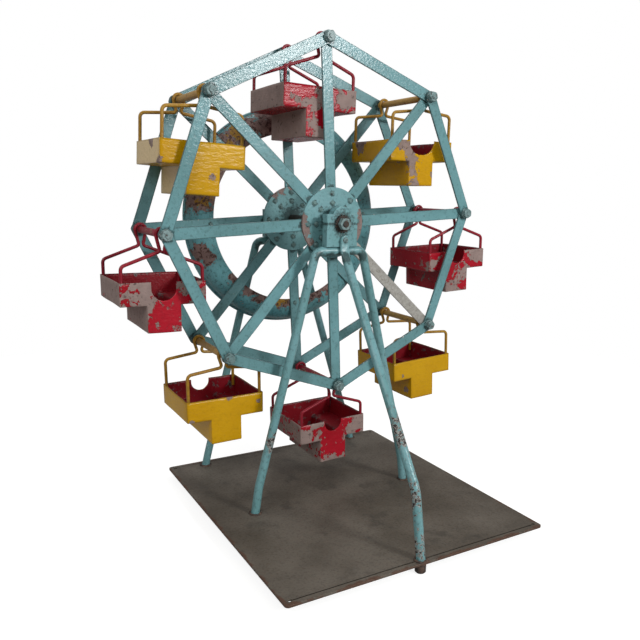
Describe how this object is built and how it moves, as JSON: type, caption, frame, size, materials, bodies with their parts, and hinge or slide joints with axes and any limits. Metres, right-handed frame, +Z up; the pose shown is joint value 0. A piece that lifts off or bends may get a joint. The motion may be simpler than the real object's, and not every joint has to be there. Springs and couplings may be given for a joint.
{
  "type": "ferris wheel toy",
  "caption": "Hand-made steel toy ferris wheel: octagon wheels of flat bar on one axle, T-shaped tubs on rod bails, bent-rod A-frames on a plate, a dished belt ring behind.",
  "frame": {"origin": "on the ground, in the middle of the toy's outline", "axes": "+Z up, the axle along Y, the front wheel on the -Y side, +X to the right seen from the front"},
  "size_m": [0.448, 0.327, 0.5046],
  "materials": {
    "plate_steel": "scratched, worn and rust-edged",
    "dark_steel": "dark, dull",
    "rust": "rusted",
    "teal_paint": "worn satin",
    "bare_steel": "scratched, bare",
    "red_paint": "chipped to grey primer",
    "yellow_paint": "worn satin",
    "sleeve_paint": "yellow over brown, worn"
  },
  "bodies": {
    "stand": {"base_plate": "plate_steel", "feet": "dark_steel", "foot_welds": "rust", "front_frame_rod": "teal_paint", "front_strut": "teal_paint", "back_frame_rod": "teal_paint", "front_bearing": "teal_paint", "front_bearing_cap": "teal_paint", "back_bearing": "teal_paint", "back_bearing_cap": "teal_paint", "cap_screws": "teal_paint", "strut_screw": "teal_paint"},
    "wheel": {"axle": "dark_steel", "axle_nuts": "teal_paint", "axle_washers": "teal_paint", "axle_spacers": "dark_steel", "front_hub_disc": "teal_paint", "back_hub_disc": "teal_paint", "front_hub_rivets": "dark_steel", "back_hub_rivets": "dark_steel", "front_spokes": "teal_paint", "bare_front_spoke": "bare_steel", "back_spokes": "teal_paint", "front_rim_bars": "teal_paint", "back_rim_bars": "teal_paint", "corner_bolts": "teal_paint", "corner_nuts": "teal_paint", "corner_washers": "teal_paint", "belt_ring": "teal_paint", "ring_bolts": "teal_paint", "sleeve_1": "sleeve_paint", "sleeve_2": "sleeve_paint", "sleeve_3": "sleeve_paint", "sleeve_4": "sleeve_paint", "sleeve_5": "sleeve_paint", "sleeve_6": "sleeve_paint", "sleeve_7": "sleeve_paint", "sleeve_8": "sleeve_paint"},
    "car_1": {"tub_1": "red_paint", "bails_1": "red_paint"},
    "car_2": {"tub_2": "yellow_paint", "bails_2": "yellow_paint"},
    "car_3": {"tub_3": "red_paint", "bails_3": "red_paint"},
    "car_4": {"tub_4": "yellow_paint", "bails_4": "yellow_paint"},
    "car_5": {"tub_5": "red_paint", "bails_5": "red_paint"},
    "car_6": {"tub_6": "yellow_paint", "bails_6": "yellow_paint"},
    "car_7": {"tub_7": "red_paint", "bails_7": "red_paint"},
    "car_8": {"tub_8": "yellow_paint", "bails_8": "yellow_paint"}
  },
  "joints": [
    {"name": "wheel_spin", "type": "hinge", "parent": "stand", "child": "wheel", "pos_m": [-0.00121, 0.0673, 0.3175], "axis": [0, 1, 0], "continuous": true},
    {"name": "car_1_swing", "type": "hinge", "parent": "wheel", "child": "car_1", "pos_m": [-0.01157, 0.0673, 0.4972], "axis": [0, 1, 0], "continuous": true},
    {"name": "car_2_swing", "type": "hinge", "parent": "wheel", "child": "car_2", "pos_m": [0.11853, 0.0673, 0.45189], "axis": [0, 1, 0], "continuous": true},
    {"name": "car_3_swing", "type": "hinge", "parent": "wheel", "child": "car_3", "pos_m": [0.17849, 0.0673, 0.32786], "axis": [0, 1, 0], "continuous": true},
    {"name": "car_4_swing", "type": "hinge", "parent": "wheel", "child": "car_4", "pos_m": [0.13318, 0.0673, 0.19776], "axis": [0, 1, 0], "continuous": true},
    {"name": "car_5_swing", "type": "hinge", "parent": "wheel", "child": "car_5", "pos_m": [0.00915, 0.0673, 0.1378], "axis": [0, 1, 0], "continuous": true},
    {"name": "car_6_swing", "type": "hinge", "parent": "wheel", "child": "car_6", "pos_m": [-0.12095, 0.0673, 0.18311], "axis": [0, 1, 0], "continuous": true},
    {"name": "car_7_swing", "type": "hinge", "parent": "wheel", "child": "car_7", "pos_m": [-0.18091, 0.0673, 0.30714], "axis": [0, 1, 0], "continuous": true},
    {"name": "car_8_swing", "type": "hinge", "parent": "wheel", "child": "car_8", "pos_m": [-0.1356, 0.0673, 0.43724], "axis": [0, 1, 0], "continuous": true}
  ],
  "couplings": [
    {"joint": "car_1_swing", "follows": "wheel_spin", "ratio": -1},
    {"joint": "car_2_swing", "follows": "wheel_spin", "ratio": -1},
    {"joint": "car_3_swing", "follows": "wheel_spin", "ratio": -1},
    {"joint": "car_4_swing", "follows": "wheel_spin", "ratio": -1},
    {"joint": "car_5_swing", "follows": "wheel_spin", "ratio": -1},
    {"joint": "car_6_swing", "follows": "wheel_spin", "ratio": -1},
    {"joint": "car_7_swing", "follows": "wheel_spin", "ratio": -1},
    {"joint": "car_8_swing", "follows": "wheel_spin", "ratio": -1}
  ]
}
